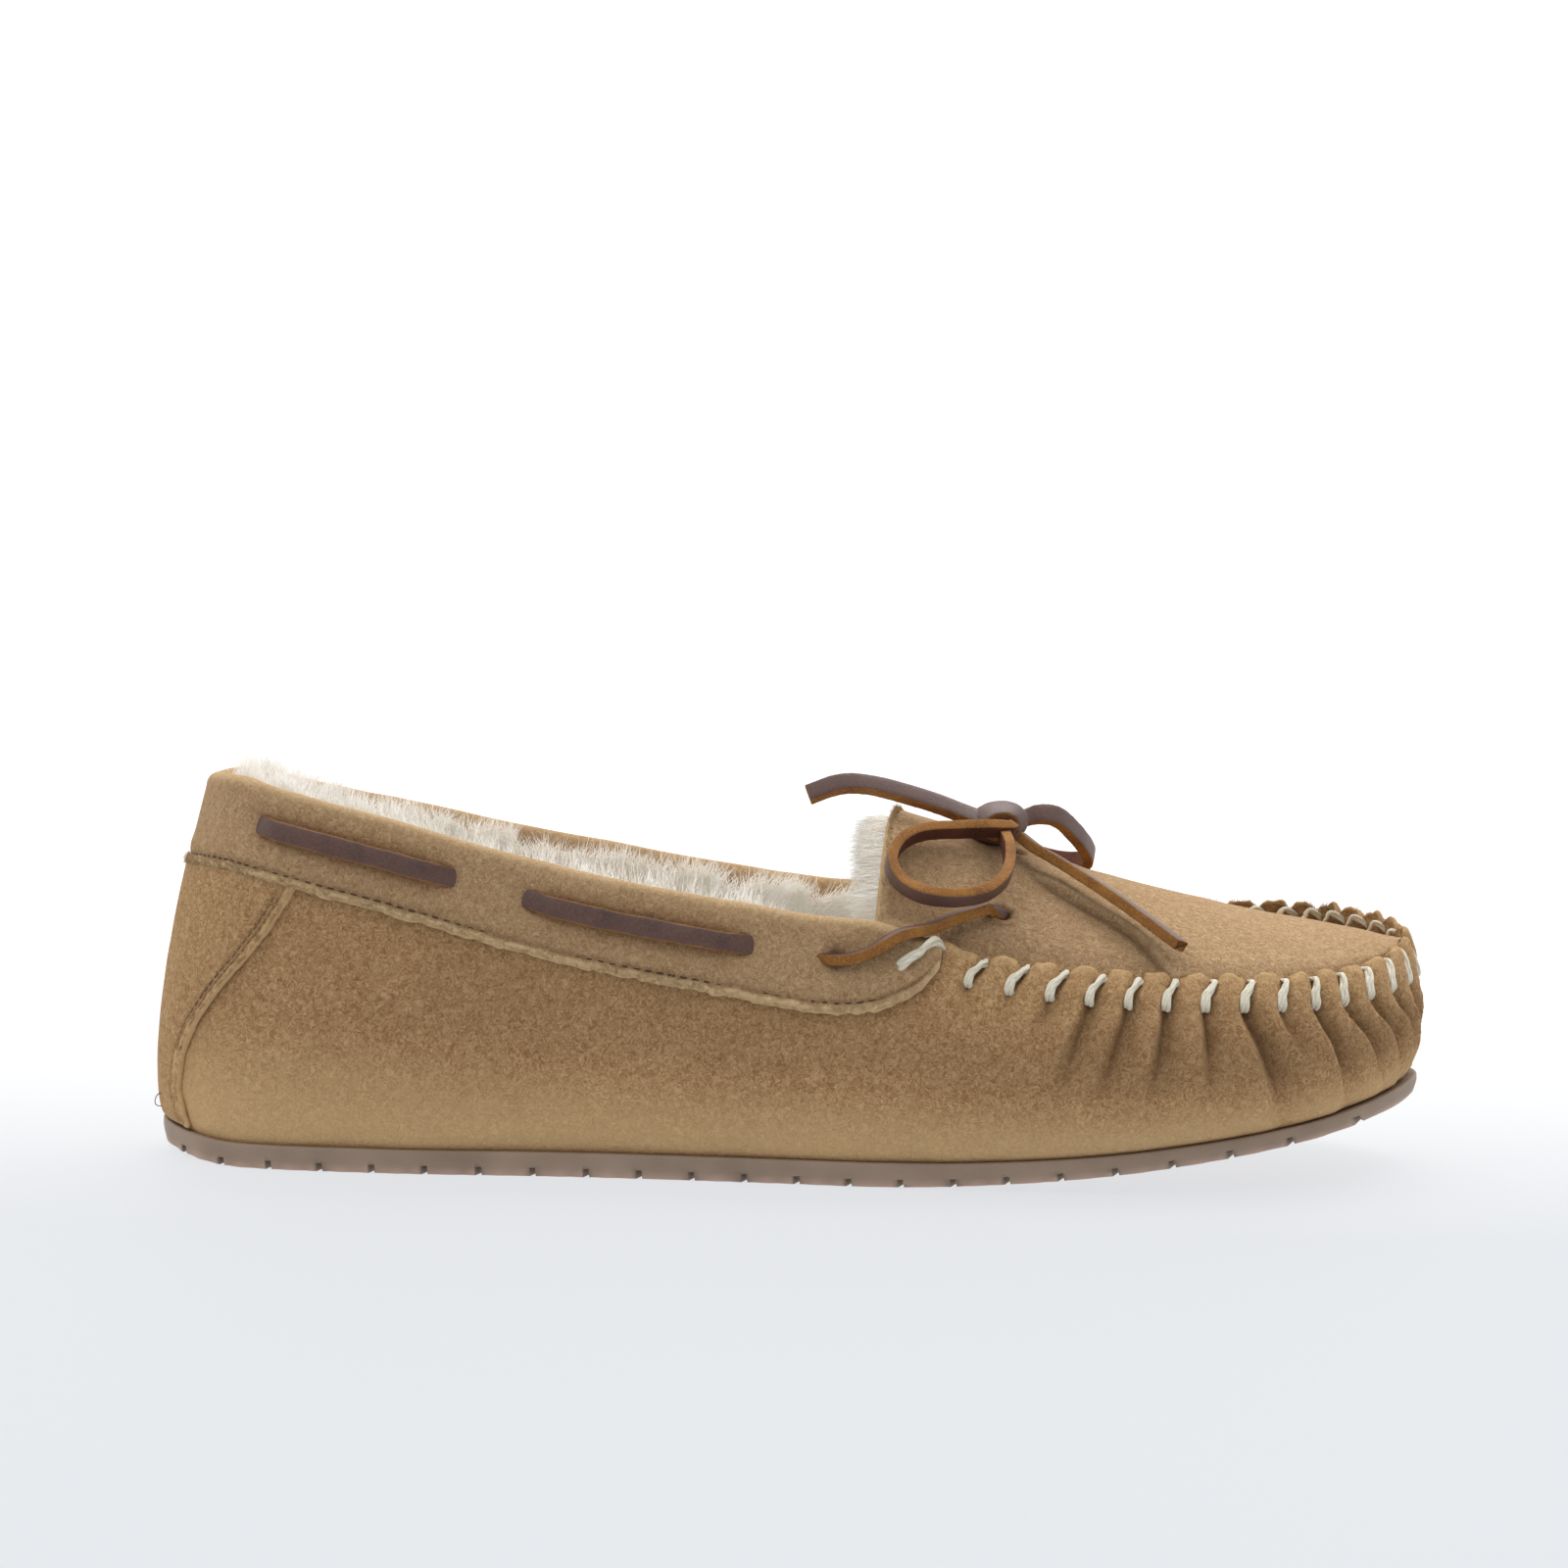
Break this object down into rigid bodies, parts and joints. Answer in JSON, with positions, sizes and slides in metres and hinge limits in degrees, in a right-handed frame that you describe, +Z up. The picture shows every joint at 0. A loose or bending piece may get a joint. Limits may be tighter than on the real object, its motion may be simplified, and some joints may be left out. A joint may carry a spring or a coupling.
{
  "type": "moccasin slipper",
  "caption": "Low suede moccasin slipper for the right foot, with a gathered toe, faux-fur lining, thin rubber sole and a leather lace tied in a bow.",
  "frame": {"origin": "middle of the footprint, on the ground under the outsole", "axes": "+X towards the toe, +Y towards the inner (big toe) side, +Z up"},
  "size_m": [0.2616, 0.1001, 0.0801],
  "materials": {
    "suede": "matte",
    "suede_collar": "matte",
    "fur": "matte",
    "sole_rubber": "satin",
    "lace": "satin",
    "thread_cream": "matte",
    "thread_dark": "matte",
    "board": "matte",
    "foam": "matte",
    "counter": "matte"
  },
  "bodies": {
    "slipper": {"outsole": "sole_rubber", "lasting_board": "board", "foam_footbed": "foam", "footbed_pile": "fur", "vamp": "suede", "heel_patch": "suede", "heel_counter": "counter", "collar": "suede_collar", "quarter_lining": "fur", "forefoot_lining": "fur", "plug": "suede_collar", "plug_lining": "fur", "whipstitch_thread": "thread_cream", "collar_thread": "thread_dark", "heel_patch_thread": "thread_dark", "lace_run": "lace", "bow_knot": "lace"},
    "bow_loop_outer": {"bow_loop_outer": "lace"},
    "bow_loop_inner": {"bow_loop_inner": "lace"},
    "bow_tail_rear": {"bow_tail_rear": "lace"},
    "bow_tail_front": {"bow_tail_front": "lace"}
  },
  "joints": [
    {"name": "loop_outer_swing", "type": "hinge", "parent": "slipper", "child": "bow_loop_outer", "pos_m": [0.044, -0.0125, 0.0705], "axis": [-1, 0, 0], "range_deg": [0, 45]},
    {"name": "loop_inner_swing", "type": "hinge", "parent": "slipper", "child": "bow_loop_inner", "pos_m": [0.045, 0.0005, 0.0718], "axis": [1, 0, 0], "range_deg": [0, 45]},
    {"name": "tail_rear_swing", "type": "hinge", "parent": "slipper", "child": "bow_tail_rear", "pos_m": [0.0365, -0.0054, 0.0715], "axis": [0, 1, 0], "range_deg": [-4, 45], "stiffness_Nm_per_rad": 0.002},
    {"name": "tail_front_swing", "type": "hinge", "parent": "slipper", "child": "bow_tail_front", "pos_m": [0.0486, -0.01, 0.0658], "axis": [-0.7059, -0.6549, -0.27], "range_deg": [0, 45]}
  ]
}
